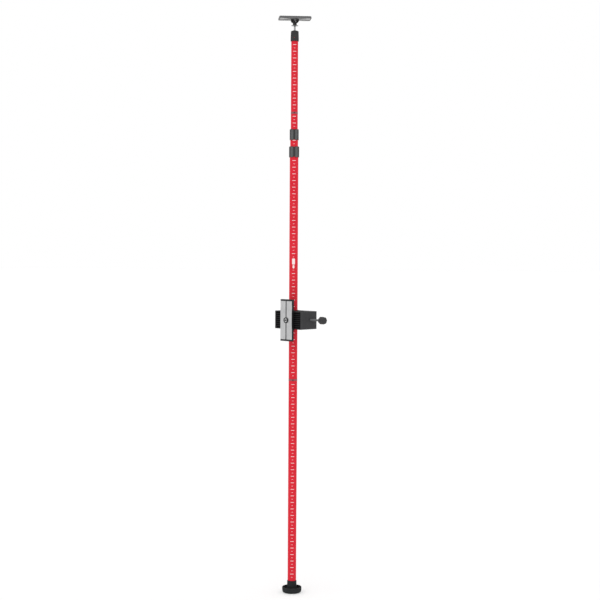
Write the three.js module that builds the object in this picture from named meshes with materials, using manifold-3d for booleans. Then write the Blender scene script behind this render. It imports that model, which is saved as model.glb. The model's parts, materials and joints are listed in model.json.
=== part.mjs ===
// A graduated leveling pole that is wedged between a floor and a ceiling, with a clamp-on laser mount.
// Millimetres, +Z up. The origin is the centre of the foot's underside, and -Y is the graduated front.
import * as THREE from 'three';
import { mergeVertices } from 'three/addons/utils/BufferGeometryUtils.js';
import Module from 'manifold-3d';

const wasm = await Module();
wasm.setup();

// ---------- driving dimensions ----------

const ROUND = 24; // facets round a tube
const SMALL = 16; // facets round a pin or a rod
const FIT = 0.1; // gap between pieces that are fixed to each other
const SLIDE = 0.15; // gap between pieces that slide on each other
const THROUGH = 1; // how far a cutting tool runs past the faces it cuts

const MAIN = { outer: 16.5, inner: 15.2 }; // lower and middle tubes
const SECOND = { outer: 14.9, inner: 13.6 }; // first telescoping tube
const THIRD = { outer: 13.2, inner: 11.9 }; // second telescoping tube and top tube

const FOOT = {
  radius: 37.5,
  underside: 30,
  corner: [[34.4, 1.8], [36.8, 5.2]],
  side: 9,
  rim: 22,
  rimInner: 32.8,
  pocketInner: 31.8,
  pocketFloor: 9,
  socketBase: 19,
  socketMiddle: 18.8,
  socketTop: 17.75,
  height: 47,
  floor: 7,
};
const FOOT_PIN = { radius: 2, z: 38, half: 17.6 };

const LOWER_JOINT = { z: 828, ring: 5.6, tube: MAIN, button: 2.9, lift: 1.8, sleeve: 43, plug: 40 };
const UPPER_JOINT = { z: 1853, ring: 4.8, tube: THIRD, button: 2.5, lift: 1.5, sleeve: 40, plug: 32 };
const COLLAR_WALL = 1.8;
const SPIGOT = { tip: 2, taper: 2, step: 1.4 };
const BUTTON = { proud: 0.8, length: 10.5, rounding: 1, hole: 6, swallow: 6.5 };
const BUTTON_SPRING = { inset: 0.9, wire: 0.4, seat: 5.7, gap: 0.3, turns: 4 };

const LOWER_GRIP = { bottom: 1682, top: 1724, ridge: 19.4, valley: 18.4, outside: MAIN, inside: SECOND };
const UPPER_GRIP = { bottom: 1748, top: 1790, ridge: 17.3, valley: 16.6, outside: SECOND, inside: THIRD };
const GRIP = { lobes: 6, chamfer: 0.8, seat: 10.2, lip: 2.7, run: 0.25 };
const COLLET = { wall: 1, slide: 0.2, taper: 1.4, start: 3, shoulder: 1, lipGap: 0.4, slot: 0.8 };
const SECOND_BOTTOM = 902;
const THIRD_BOTTOM = 979;
const SECOND_BORE = 9;
const THIRD_BORE = 8;
const BUSH = { below: 6, above: 12, lead: 0.75, taper: 0.8 };

const HEAD = { bottom: 2124, shoulder: 2162, top: 2165.5, lowRadius: 15.4, highRadius: 14.5, sleeve: 2093 };
const HEAD_TUBE_TOP = HEAD.bottom + 4;
const HEAD_BAND = 14; // height of the grip's wide lower part
const HEAD_SLEEVE_TOP = HEAD.shoulder - 5;
const ROD = { radius: 3.6, bottom: 2048, top: 2190, cap: 2089, capRadius: 9.2, capGap: 0.4 };
const SPRING_SEAT = { top: 2013, height: 10 };
const PLUNGER_SPRING = { radius: 8, wire: 0.75, gap: 0.2, turns: 9 };
const DISC = { bottom: 2182.4, top: 2184, radius: 13.5 };

const PIVOT = 2203.5; // height of the ceiling plate's swivel
const YOKE = { stem: 7.5, neck: 2193.5, halfWidth: 15, arm: 11, halfDepth: 4.6, shelf: 2201.1, top: 2206.9 };
const NOTCH = { half: 4.7, floor: 2198.4 };
const CROSS = { half: 4.2, halfHeight: 3.4, trunnion: 2, pinHole: 1.6 };
const PLATE = { length: 123, width: 66, bottom: 2207.2, skin: 2211.6, top: 2213.6, wall: 2.6, corner: 8 };
const RIB = { start: 17, half: 1, rise: 1, corner: 4, overlap: 0.5 };
const HUB = { inner: 16, outer: 18 };
const LUG = { y: 7.7, half: 1.6, radius: 4, drop: 0.5, hole: 1.7 };
const PLATE_PIN = { radius: 1.5, half: 9.2 };
const PAD_TOP = 2216;
const PLATE_YAW = THREE.MathUtils.degToRad(4.7);

const MOUNT_Z = 1061;
const MOUNT_YAW = THREE.MathUtils.degToRad(-45);
const BOX = { left: -46, right: 94, front: -41.7, back: 35, half: 34, corner: 5, chamfer: 0.8 };
const POCKET = { roof: 5, wall: 4, leftEnd: -27.5, frontStart: -17, frontBack: -26.5, rightGap: 3 };
const RAIL = { front: -53, back: -42, groove: 3, pitch: 7.7, ribs: 9, rib: 3.1, cap: 3 };
const HOOK_SLOT = { near: -48.2, far: -44.2, depth: 2.6 };
const HOOK = { gap: 0.4, near: -47.6, far: -44.8, reach: 2, thickness: 3.2, half: 26 };
const LINER = { inner: 16.75, outer: 18.3, flange: 20.5, flangeHeight: 1.6, gap: 0.3, slit: 1.2 };
const BORE = 18.6;
const CAVITY = { right: 71, half: 20.5, groove: 23, grooveStart: 5, grooveHalf: 5.3 };
const JAW = { left: 10, right: 36, half: 20, height: 31, tongue: 22.6, tongueHalf: 5, hollow: 18.75 };
const SCREW = { radius: 4, start: 37.5, end: 158, z: 2, run: 0.2 };
const THRUST = { radius: 8, start: 36.3, end: 40.8 };
const INSERT = { radius: 6.9, end: 86, hole: 7, holeEnd: 86.3 };
const KNOB = { left: 140.5, grip: 144.5, right: 169.5, ridge: 14.3, valley: 12.4, lobes: 7, chamfer: 1.6 };
const KNOB_NECK = { radius: 6.5, overlap: 1 };
const RAIL_SCREWS = [[-22.9, 22], [-22.9, -22], [84, 22], [84, -22]];
const BOLT = { radius: 2, head: 3.6, tip: -46.3, seat: -29.8, back: -26 };
const BOLT_HOLE = { radius: 2.2, well: 4.2, wellStart: -30 };

const LASER_PLATE = {
  x: 26,
  half: 30.25,
  front: -65,
  strip: 2,
  back: -53.4,
  slot: 4.6,
  halfHeight: 73,
  cap: 6.5,
};
const EAR = { width: 1.6, setBack: 1.5, drop: 15 };
const T_SLOT = { half: 5.4, depth: 4.6, lip: 1.6 };
const STUD = { head: 4.8, neckHalf: 3, radius: 3.1, length: 8, play: 0.3, sunk: 0.35, seat: 0.2 };
const WHEEL = { radius: 11, thickness: 2.8, gap: 0.4, bore: 3.35 };

// ---------- materials ----------

function finish(color, roughness, metalness) {
  return new THREE.MeshStandardMaterial({ color, roughness, metalness });
}

const red = () => finish(0xd4303e, 0.35, 0.25);
const rubber = () => finish(0x2f3133, 0.85, 0);
const softGrip = () => finish(0x4b4d4d, 0.75, 0);
const blackPlastic = () => finish(0x2c2e30, 0.5, 0);
const greyPlastic = () => finish(0x434547, 0.6, 0);
const nylon = () => finish(0xd9d7cf, 0.6, 0);
const steel = () => finish(0xb9bdbe, 0.3, 1);
const chrome = () => finish(0xcfd2d4, 0.15, 1);
const brass = () => finish(0xb08d4a, 0.35, 1);
const anodised = () => finish(0x1b1c1d, 0.45, 0.6);

// ---------- solids ----------

function solid(shape) {
  if (shape instanceof wasm.Manifold) {
    return shape;
  }
  const bare = shape.clone();
  bare.deleteAttribute('normal');
  bare.deleteAttribute('uv');
  const merged = mergeVertices(bare);
  const index = merged.index.array;
  const triangles = [];
  for (let i = 0; i < index.length; i += 3) {
    const corners = [index[i], index[i + 1], index[i + 2]];
    if (new Set(corners).size === 3) {
      triangles.push(...corners);
    }
  }
  const vertProperties = new Float32Array(merged.attributes.position.array);
  const triVerts = new Uint32Array(triangles);
  return new wasm.Manifold(new wasm.Mesh({ numProp: 3, vertProperties, triVerts }));
}

function cut(body, ...tools) {
  return tools.reduce((left, tool) => left.subtract(solid(tool)), solid(body));
}

function join(...bodies) {
  return bodies.map(solid).reduce((sum, body) => sum.add(body));
}

function piece(name, shape, material) {
  const mesh = solid(shape).getMesh();
  const geometry = new THREE.BufferGeometry();
  geometry.setAttribute('position', new THREE.BufferAttribute(mesh.vertProperties, 3));
  geometry.setIndex(new THREE.BufferAttribute(mesh.triVerts, 1));
  geometry.computeVertexNormals();
  const result = new THREE.Mesh(geometry, material);
  result.name = name;
  return result;
}

// ---------- basic shapes ----------

// Turns a closed outline of [radius, z] points, given anticlockwise, about the Z axis.
function revolve(outline, facets = ROUND) {
  const loop = [...outline, outline[0]].map(([radius, z]) => new THREE.Vector2(radius, z));
  return new THREE.LatheGeometry(loop, facets).rotateX(Math.PI / 2);
}

function tube(inner, outer, bottom, top, facets = ROUND) {
  return revolve([[inner, bottom], [outer, bottom], [outer, top], [inner, top]], facets);
}

function rod(radius, bottom, top, facets = ROUND) {
  return new THREE.CylinderGeometry(radius, radius, top - bottom, facets)
    .rotateX(Math.PI / 2)
    .translate(0, 0, (bottom + top) / 2);
}

// A rod along X from one end to the other, at the given y and z.
function rodX(radius, start, end, y = 0, z = 0, facets = SMALL) {
  return rod(radius, start, end, facets).rotateY(Math.PI / 2).translate(0, y, z);
}

// A rod along Y from one end to the other, at the given x and z.
function rodY(radius, start, end, x = 0, z = 0, facets = SMALL) {
  return rod(radius, start, end, facets).rotateX(-Math.PI / 2).translate(x, 0, z);
}

function box(x0, x1, y0, y1, z0, z1) {
  return new THREE.BoxGeometry(x1 - x0, y1 - y0, z1 - z0)
    .translate((x0 + x1) / 2, (y0 + y1) / 2, (z0 + z1) / 2);
}

function outline(points) {
  return new THREE.Shape(points.map(([x, y]) => new THREE.Vector2(x, y)));
}

function roundedRectangle(x0, x1, y0, y1, radius) {
  const shape = new THREE.Shape();
  shape.absarc(x1 - radius, y0 + radius, radius, -Math.PI / 2, 0);
  shape.absarc(x1 - radius, y1 - radius, radius, 0, Math.PI / 2);
  shape.absarc(x0 + radius, y1 - radius, radius, Math.PI / 2, Math.PI);
  shape.absarc(x0 + radius, y0 + radius, radius, Math.PI, Math.PI * 1.5);
  return shape;
}

// Ridges and shallow round valleys, with a valley at the front.
function lobedOutline(ridge, valley, lobes, steps = 8) {
  const points = [];
  for (let i = 0; i < lobes * steps; i += 1) {
    const turn = (i / (lobes * steps)) * 2 * Math.PI;
    const dip = Math.pow(Math.cos((lobes * turn) / 2), 4);
    const radius = ridge - (ridge - valley) * dip;
    points.push([radius * Math.cos(turn - Math.PI / 2), radius * Math.sin(turn - Math.PI / 2)]);
  }
  return outline(points);
}

// Pushes a flat shape along Z, with an optional chamfer inside its outline at both ends.
function prism(shape, bottom, top, chamfer = 0) {
  return new THREE.ExtrudeGeometry(shape, {
    depth: top - bottom - 2 * chamfer,
    curveSegments: 4,
    bevelEnabled: chamfer > 0,
    bevelThickness: chamfer,
    bevelSize: chamfer,
    bevelOffset: -chamfer,
    bevelSegments: 1,
  }).translate(0, 0, bottom + chamfer);
}

// Pushes a shape drawn in the YZ plane along X.
function prismX(shape, start, end) {
  const turn = new THREE.Matrix4().makeBasis(
    new THREE.Vector3(0, 1, 0),
    new THREE.Vector3(0, 0, 1),
    new THREE.Vector3(1, 0, 0),
  );
  return prism(shape, start, end).applyMatrix4(turn);
}

class Helix extends THREE.Curve {
  constructor(radius, bottom, top, turns) {
    super();
    Object.assign(this, { radius, bottom, top, turns });
  }

  getPoint(t, target = new THREE.Vector3()) {
    const turn = t * this.turns * 2 * Math.PI;
    const height = this.bottom + t * (this.top - this.bottom);
    return target.set(this.radius * Math.cos(turn), this.radius * Math.sin(turn), height);
  }
}

// A coil spring that stands between two heights.
function coil(radius, wire, bottom, top, turns, stepsPerTurn, arcs) {
  const section = new THREE.Shape();
  section.absarc(0, 0, wire, 0, 2 * Math.PI);
  const extrudePath = new Helix(radius, bottom + wire, top - wire, turns);
  const steps = Math.round(turns * stepsPerTurn);
  return new THREE.ExtrudeGeometry(section, { steps, curveSegments: arcs, bevelEnabled: false, extrudePath });
}

// ---------- foot and lower section ----------

function footPinHole() {
  return rodX(FOOT_PIN.radius + FIT, -FOOT.radius, FOOT.radius, 0, FOOT_PIN.z);
}

function foot() {
  const socket = MAIN.outer + FIT;
  const body = revolve([
    [0, 0],
    [FOOT.underside, 0],
    ...FOOT.corner,
    [FOOT.radius, FOOT.side],
    [FOOT.radius, FOOT.rim - 1.5],
    [FOOT.radius - 1.5, FOOT.rim],
    [FOOT.rimInner, FOOT.rim],
    [FOOT.pocketInner, FOOT.pocketFloor],
    [FOOT.socketBase, FOOT.pocketFloor],
    [FOOT.socketMiddle, FOOT.rim],
    [FOOT.socketTop, FOOT.height],
    [socket, FOOT.height],
    [socket, FOOT.floor],
    [0, FOOT.floor],
  ]);
  return piece('foot', cut(body, footPinHole()), rubber());
}

function footPieces() {
  const plug = rod(MAIN.inner - FIT, FOOT.floor + FIT, FOOT.height - 2);
  return [
    foot(),
    piece('foot_plug', cut(plug, footPinHole()), nylon()),
    piece('foot_pin', rodX(FOOT_PIN.radius, -FOOT_PIN.half, FOOT_PIN.half, 0, FOOT_PIN.z), steel()),
  ];
}

// ---------- push-button joints between sections ----------

function jointLevels(joint) {
  const bottom = joint.z - joint.ring / 2;
  const top = joint.z + joint.ring / 2;
  const sleeve = joint.tube.inner - FIT;
  return { bottom, top, button: bottom + joint.lift, sleeve, bore: sleeve - COLLAR_WALL };
}

function buttonHole(joint, clearance) {
  const { button } = jointLevels(joint);
  return rodY(joint.button + clearance, -joint.tube.outer - 5, BUTTON.hole, 0, button);
}

// The ring that shows between two tubes, with a sleeve down inside the lower one.
function jointCollar(name, joint) {
  const { bottom, top, sleeve, bore } = jointLevels(joint);
  const ring = revolve([
    [bore, bottom - joint.sleeve],
    [sleeve, bottom - joint.sleeve],
    [sleeve, bottom],
    [joint.tube.outer, bottom],
    [joint.tube.outer, top],
    [bore, top],
  ]);
  return piece(name, cut(ring, buttonHole(joint, 0.3).translate(0, -BUTTON.swallow, 0)), blackPlastic());
}

// The plug of the upper section: its thin end drops into the collar and carries the button.
function jointSpigot(name, joint) {
  const { bottom, top, sleeve, bore } = jointLevels(joint);
  const tip = bottom - joint.sleeve + SPIGOT.tip;
  const body = revolve([
    [0, tip],
    [bore - SPIGOT.step, tip],
    [bore - FIT, tip + SPIGOT.taper],
    [bore - FIT, top + FIT],
    [sleeve, top + FIT],
    [sleeve, top + joint.plug],
    [0, top + joint.plug],
  ]);
  return piece(name, cut(body, buttonHole(joint, 0.2)), nylon());
}

function snapButton(name, joint) {
  const { button } = jointLevels(joint);
  const tip = -joint.tube.outer - BUTTON.proud;
  const head = revolve([
    [0, 0],
    [joint.button - BUTTON.rounding, 0],
    [joint.button, BUTTON.rounding],
    [joint.button, BUTTON.length],
    [0, BUTTON.length],
  ], SMALL);
  return piece(name, head.rotateX(-Math.PI / 2).translate(0, tip, button), blackPlastic());
}

function buttonSpring(name, joint) {
  const { inset, wire, seat, gap, turns } = BUTTON_SPRING;
  const start = -joint.tube.outer - BUTTON.proud + BUTTON.length + gap;
  const spring = coil(joint.button - inset, wire, start, seat, turns, 8, 2);
  return piece(name, spring.rotateX(-Math.PI / 2).translate(0, 0, jointLevels(joint).button), steel());
}

// ---------- twist-lock collars ----------

function collarLevels(grip) {
  return {
    seat: grip.top - GRIP.seat,
    lip: grip.top - GRIP.lip,
    sleeve: grip.outside.outer + COLLET.wall,
    slide: grip.inside.outer + COLLET.slide,
  };
}

// A slotted sleeve fixed round the top of the outer tube. Its fingers close on the inner tube.
function collet(name, grip) {
  const { seat, lip, sleeve, slide } = collarLevels(grip);
  const around = grip.outside.outer + FIT / 2;
  const ring = revolve([
    [around, grip.bottom + COLLET.start],
    [sleeve, grip.bottom + COLLET.start],
    [sleeve, seat + COLLET.shoulder],
    [sleeve - COLLET.taper, lip - COLLET.lipGap],
    [slide, lip - COLLET.lipGap],
    [slide, seat],
    [around, seat],
  ]);
  const reach = grip.ridge + THROUGH;
  const slot = box(-COLLET.slot, COLLET.slot, -reach, reach, seat + 1.5, lip + THROUGH);
  const slots = [0, Math.PI / 2].map((turn) => slot.clone().rotateZ(turn));
  return piece(name, cut(ring, ...slots), blackPlastic());
}

// The lobed nut that the hand turns.
function twistGrip(name, grip) {
  const { seat, lip, sleeve, slide } = collarLevels(grip);
  const lobes = lobedOutline(grip.ridge, grip.valley, GRIP.lobes);
  const thread = sleeve + GRIP.run;
  const hollow = revolve([
    [0, grip.bottom - THROUGH],
    [thread, grip.bottom - THROUGH],
    [thread, seat + COLLET.shoulder + 0.3],
    [thread - COLLET.taper, lip],
    [slide + FIT, lip],
    [slide + FIT, grip.top + THROUGH],
    [0, grip.top + THROUGH],
  ]);
  return piece(name, cut(prism(lobes, grip.bottom, grip.top, GRIP.chamfer), hollow), softGrip());
}

// A plug that guides a telescoping tube's lower end inside the tube around it.
function tubeBush(name, outside, inside, bottom, bore) {
  return piece(name, revolve([
    [bore, bottom - BUSH.below],
    [outside.inner - BUSH.lead, bottom - BUSH.below],
    [outside.inner - SLIDE, bottom - BUSH.below + BUSH.taper],
    [outside.inner - SLIDE, bottom - FIT],
    [inside.inner - FIT, bottom - FIT],
    [inside.inner - FIT, bottom + BUSH.above],
    [bore, bottom + BUSH.above],
  ]), nylon());
}

// ---------- pole ----------

function poleTube(name, size, bottom, top, hole) {
  const wall = tube(size.inner, size.outer, bottom, top);
  return piece(name, hole ? cut(wall, hole) : wall, red());
}

function lowerSection() {
  const joint = jointLevels(LOWER_JOINT);
  const holes = join(footPinHole(), buttonHole(LOWER_JOINT, 0.4));
  return [
    ...footPieces(),
    poleTube('lower_tube', MAIN, FOOT.floor + FIT, joint.bottom - FIT, holes),
    jointCollar('lower_joint_collar', LOWER_JOINT),
    jointSpigot('lower_spigot', LOWER_JOINT),
    snapButton('lower_snap_button', LOWER_JOINT),
    buttonSpring('lower_button_spring', LOWER_JOINT),
  ];
}

function middleSection() {
  const joint = jointLevels(LOWER_JOINT);
  const { seat } = collarLevels(LOWER_GRIP);
  return [
    poleTube('middle_tube', MAIN, joint.top + FIT, seat - FIT),
    collet('lower_collet', LOWER_GRIP),
    twistGrip('lower_twist_grip', LOWER_GRIP),
  ];
}

function secondSection() {
  const { seat } = collarLevels(UPPER_GRIP);
  return [
    poleTube('second_tube', SECOND, SECOND_BOTTOM, seat - FIT),
    tubeBush('second_tube_bush', MAIN, SECOND, SECOND_BOTTOM, SECOND_BORE),
    collet('upper_collet', UPPER_GRIP),
    twistGrip('upper_twist_grip', UPPER_GRIP),
  ];
}

function thirdSection() {
  const joint = jointLevels(UPPER_JOINT);
  return [
    poleTube('third_tube', THIRD, THIRD_BOTTOM, joint.bottom - FIT, buttonHole(UPPER_JOINT, 0.4)),
    tubeBush('third_tube_bush', SECOND, THIRD, THIRD_BOTTOM, THIRD_BORE),
    jointCollar('upper_joint_collar', UPPER_JOINT),
    jointSpigot('upper_spigot', UPPER_JOINT),
    snapButton('upper_snap_button', UPPER_JOINT),
    buttonSpring('upper_button_spring', UPPER_JOINT),
    poleTube('top_tube', THIRD, joint.top + FIT, HEAD_TUBE_TOP),
  ];
}

// ---------- sprung head ----------

function headSleeve() {
  const guide = ROD.radius + SLIDE;
  return piece('head_sleeve', revolve([
    [guide, HEAD.sleeve],
    [THIRD.inner - FIT, HEAD.sleeve],
    [THIRD.inner - FIT, HEAD_TUBE_TOP + FIT],
    [THIRD.outer - FIT, HEAD_TUBE_TOP + FIT],
    [THIRD.outer - FIT, HEAD_SLEEVE_TOP],
    [guide, HEAD_SLEEVE_TOP],
  ]), blackPlastic());
}

function headGrip() {
  const around = THIRD.outer + 0.25;
  const guide = ROD.radius + 0.4;
  const ceiling = HEAD_SLEEVE_TOP + 0.4;
  return piece('head_grip', revolve([
    [around, HEAD.bottom],
    [HEAD.lowRadius - 0.8, HEAD.bottom],
    [HEAD.lowRadius, HEAD.bottom + 0.8],
    [HEAD.lowRadius, HEAD.bottom + HEAD_BAND],
    [HEAD.highRadius, HEAD.shoulder - 2],
    [HEAD.highRadius - 1.2, HEAD.shoulder],
    [guide + 0.9, HEAD.top],
    [guide, HEAD.top],
    [guide, ceiling],
    [around, ceiling],
  ]), softGrip());
}

function plungerRod() {
  const capTop = HEAD.sleeve - ROD.capGap;
  return piece('plunger_rod', revolve([
    [0, ROD.bottom],
    [ROD.radius - 1, ROD.bottom],
    [ROD.radius, ROD.bottom + 1],
    [ROD.radius, ROD.cap],
    [ROD.capRadius, ROD.cap],
    [ROD.capRadius, capTop],
    [ROD.radius, capTop],
    [ROD.radius, ROD.top],
    [0, ROD.top],
  ], SMALL), chrome());
}

function headPieces() {
  const { radius, wire, gap, turns } = PLUNGER_SPRING;
  const seatBottom = SPRING_SEAT.top - SPRING_SEAT.height;
  const seat = tube(ROD.radius + 0.6, THIRD.inner - FIT, seatBottom, SPRING_SEAT.top);
  const spring = coil(radius, wire, SPRING_SEAT.top + gap, ROD.cap - gap, turns, 10, 3);
  const disc = tube(ROD.radius + FIT, DISC.radius, DISC.bottom, DISC.top);
  return [
    headSleeve(),
    headGrip(),
    piece('spring_seat', seat, nylon()),
    piece('plunger_spring', spring, steel()),
    plungerRod(),
    piece('rod_disc', disc, chrome()),
  ];
}

// ---------- swivel and ceiling plate, in a group turned with the plate ----------

// Half of the fork's outline, from the stem up one arm and down to the notch in the middle.
function drawForkHalf(shape, side) {
  const { stem, neck, halfWidth, arm, shelf, top } = YOKE;
  shape.moveTo(0, neck);
  shape.lineTo(side * stem, neck);
  shape.quadraticCurveTo(side * (halfWidth - 1.8), neck + 1.3, side * halfWidth, neck + 7);
  shape.lineTo(side * halfWidth, top - 1.5);
  shape.quadraticCurveTo(side * halfWidth, top, side * (halfWidth - 2), top);
  shape.lineTo(side * (arm + 0.6), top);
  shape.lineTo(side * arm, top - 0.6);
  shape.lineTo(side * arm, shelf + 1.5);
  shape.quadraticCurveTo(side * arm, shelf, side * (arm - 1.5), shelf);
  shape.lineTo(side * NOTCH.half, shelf);
  shape.lineTo(side * NOTCH.half, NOTCH.floor);
  shape.lineTo(0, NOTCH.floor);
}

function yoke() {
  const halves = [-1, 1].map((side) => {
    const shape = new THREE.Shape();
    drawForkHalf(shape, side);
    return prism(shape, -YOKE.halfDepth, YOKE.halfDepth).rotateX(Math.PI / 2);
  });
  const stem = rod(YOKE.stem, DISC.top + FIT, YOKE.neck + 2, SMALL);
  const socket = rod(ROD.radius + FIT, DISC.top - THROUGH, ROD.top + FIT, SMALL);
  const holes = rodX(CROSS.trunnion + 0.2, -YOKE.halfWidth - THROUGH, YOKE.halfWidth + THROUGH, 0, PIVOT);
  return piece('yoke', cut(join(...halves, stem), socket, holes), blackPlastic());
}

function gimbalCross() {
  const { half, halfHeight, trunnion, pinHole } = CROSS;
  const reach = YOKE.halfWidth - 0.3;
  const block = box(-half, half, -half, half, PIVOT - halfHeight, PIVOT + halfHeight);
  const hole = rodY(pinHole, -half - THROUGH, half + THROUGH, 0, PIVOT);
  const trunnions = rodX(trunnion, -reach, reach, 0, PIVOT);
  return piece('gimbal_cross', cut(join(block, trunnions), hole), greyPlastic());
}

function ceilingPlate() {
  const { length, width, corner, wall, bottom, skin, top } = PLATE;
  const [x, y] = [length / 2, width / 2];
  const edge = roundedRectangle(-x, x, -y, y, corner);
  const inner = roundedRectangle(wall - x, x - wall, wall - y, y - wall, corner - wall);
  const shell = cut(prism(edge, bottom, top, 0.6), prism(inner, bottom - THROUGH, skin));
  const reach = Math.hypot(x - RIB.corner, y - RIB.corner);
  const lean = Math.atan2(y - RIB.corner, x - RIB.corner);
  const ribBottom = bottom + RIB.rise;
  const ribTop = skin + RIB.overlap;
  const rib = box(RIB.start, reach, -RIB.half, RIB.half, ribBottom, ribTop);
  const ribs = [lean, -lean, Math.PI - lean, Math.PI + lean].map((turn) => rib.clone().rotateZ(turn));
  const hub = tube(HUB.inner, HUB.outer, ribBottom, ribTop);
  const lugs = [-LUG.y, LUG.y].map((centre) => {
    const near = centre - LUG.half;
    const far = centre + LUG.half;
    return join(
      box(-LUG.radius, LUG.radius, near, far, PIVOT, ribTop),
      rodY(LUG.radius, near, far, 0, PIVOT + LUG.drop),
    );
  });
  const pinHole = rodY(LUG.hole, -PLATE_PIN.half - THROUGH, PLATE_PIN.half + THROUGH, 0, PIVOT);
  return piece('ceiling_plate', cut(join(shell, ...ribs, hub, ...lugs), pinHole), greyPlastic());
}

function ceilingHead() {
  const x = PLATE.length / 2 - 1;
  const y = PLATE.width / 2 - 1;
  const cover = roundedRectangle(-x, x, -y, y, PLATE.corner - 1);
  const group = new THREE.Group();
  group.rotation.z = PLATE_YAW;
  group.add(
    yoke(),
    gimbalCross(),
    piece('plate_pin', rodY(PLATE_PIN.radius, -PLATE_PIN.half, PLATE_PIN.half, 0, PIVOT), steel()),
    ceilingPlate(),
    piece('ceiling_pad', prism(cover, PLATE.top + FIT, PAD_TOP, 0.5), rubber()),
  );
  return group;
}

// ---------- laser mount, in a group with +X along its rail and -Y at its front ----------

function clampLiner() {
  const { inner, outer, flange, flangeHeight, gap, slit } = LINER;
  const end = BOX.half + gap;
  const sleeve = revolve([
    [inner, -end - flangeHeight],
    [flange, -end - flangeHeight],
    [flange, -end],
    [outer, -end],
    [outer, end],
    [flange, end],
    [flange, end + flangeHeight],
    [inner, end + flangeHeight],
  ]);
  const tall = end + flangeHeight + THROUGH;
  const opening = box(-slit, slit, 5, flange + THROUGH, -tall, tall);
  return piece('clamp_liner', cut(sleeve, opening), blackPlastic());
}

function housingBlock() {
  const { left, right, front, back, half, corner, chamfer } = BOX;
  const shape = new THREE.Shape();
  shape.moveTo(left, front);
  shape.lineTo(right, front);
  shape.lineTo(right, back - corner);
  shape.absarc(right - corner, back - corner, corner, 0, Math.PI / 2);
  shape.lineTo(left + corner, back);
  shape.absarc(left + corner, back - corner, corner, Math.PI / 2, Math.PI);
  return prism(shape, -half, half, chamfer);
}

// Open pockets under the housing, the bore for the pole and the room for the jaw.
function housingHollows() {
  const { left, front, back, half } = BOX;
  const { wall, roof, leftEnd, frontStart, frontBack, rightGap } = POCKET;
  const { grooveStart, groove, grooveHalf } = CAVITY;
  const under = -half - THROUGH;
  const over = half + THROUGH;
  return [
    rod(BORE, under, over),
    box(0, CAVITY.right, -CAVITY.half, CAVITY.half, under, over),
    box(grooveStart, CAVITY.right, -groove, groove, -grooveHalf, grooveHalf),
    box(left + wall, leftEnd, front + wall, back - wall, under, half - roof),
    box(frontStart, CAVITY.right - rightGap, front + wall, frontBack, under, half - roof),
  ];
}

function clampHousing() {
  const { right, front, back } = BOX;
  const bores = RAIL_SCREWS.flatMap(([x, z]) => [
    rodY(BOLT_HOLE.radius, front - THROUGH, back, x, z),
    rodY(BOLT_HOLE.well, BOLT_HOLE.wellStart, back + THROUGH, x, z, 20),
  ]);
  return piece('clamp_housing', cut(
    housingBlock(),
    ...housingHollows(),
    rodX(INSERT.hole, CAVITY.right - THROUGH, INSERT.holeEnd, 0, SCREW.z),
    rodX(SCREW.radius + 0.5, INSERT.end - THROUGH, right + THROUGH, 0, SCREW.z),
    ...bores,
  ), greyPlastic());
}

function clampJaw() {
  const block = box(JAW.left, JAW.right, -JAW.half, JAW.half, -JAW.height, JAW.height);
  const tongue = box(JAW.left, JAW.right, -JAW.tongue, JAW.tongue, -JAW.tongueHalf, JAW.tongueHalf);
  const hollow = rod(JAW.hollow, -JAW.height - THROUGH, JAW.height + THROUGH);
  return piece('clamp_jaw', cut(join(block, tongue), hollow), blackPlastic());
}

// A rod on the clamp screw's axis, from one end to the other.
function onScrew(radius, start, end) {
  return rodX(radius, start, end, 0, SCREW.z);
}

function clampScrewPieces() {
  const lobes = lobedOutline(KNOB.ridge, KNOB.valley, KNOB.lobes);
  const grip = prism(lobes, KNOB.grip, KNOB.right, KNOB.chamfer)
    .rotateY(Math.PI / 2)
    .translate(0, 0, SCREW.z);
  const neck = onScrew(KNOB_NECK.radius, KNOB.left, KNOB.grip + KNOB_NECK.overlap);
  const knobBore = onScrew(SCREW.radius + FIT, KNOB.left - THROUGH, SCREW.end + FIT);
  const bore = onScrew(SCREW.radius + SCREW.run, SCREW.start - 0.3, INSERT.end + THROUGH);
  return [
    piece('thrust_foot', cut(onScrew(THRUST.radius, THRUST.start, THRUST.end), bore), steel()),
    piece('screw_insert', cut(onScrew(INSERT.radius, CAVITY.right + 0.3, INSERT.end), bore), brass()),
    piece('clamp_screw', onScrew(SCREW.radius, SCREW.start, SCREW.end), steel()),
    piece('clamp_knob', cut(join(grip, neck), knobBore), blackPlastic()),
  ];
}

// The rail's section, with horizontal grooves in front and a hook groove in its top and bottom.
function railSection() {
  const { half } = BOX;
  const { front, back, groove, pitch, ribs, rib } = RAIL;
  const { near, far, depth } = HOOK_SLOT;
  const points = [[back, -half], [back, half], [far, half]];
  points.push([far, half - depth], [near, half - depth], [near, half]);
  for (let i = 0; i < ribs; i += 1) {
    const z = ((ribs - 1) / 2 - i) * pitch;
    const top = i === 0 ? half : z + rib / 2;
    const bottom = i === ribs - 1 ? -half : z - rib / 2;
    points.push([front + (i === 0 ? 0 : groove), top], [front, top], [front, bottom]);
    points.push([front + (i === ribs - 1 ? 0 : groove), bottom]);
  }
  points.push([near, -half], [near, depth - half], [far, depth - half], [far, -half]);
  const distinct = points.filter(([y, z], i) => i === 0 || y !== points[i - 1][0] || z !== points[i - 1][1]);
  return outline(distinct.reverse());
}

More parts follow.
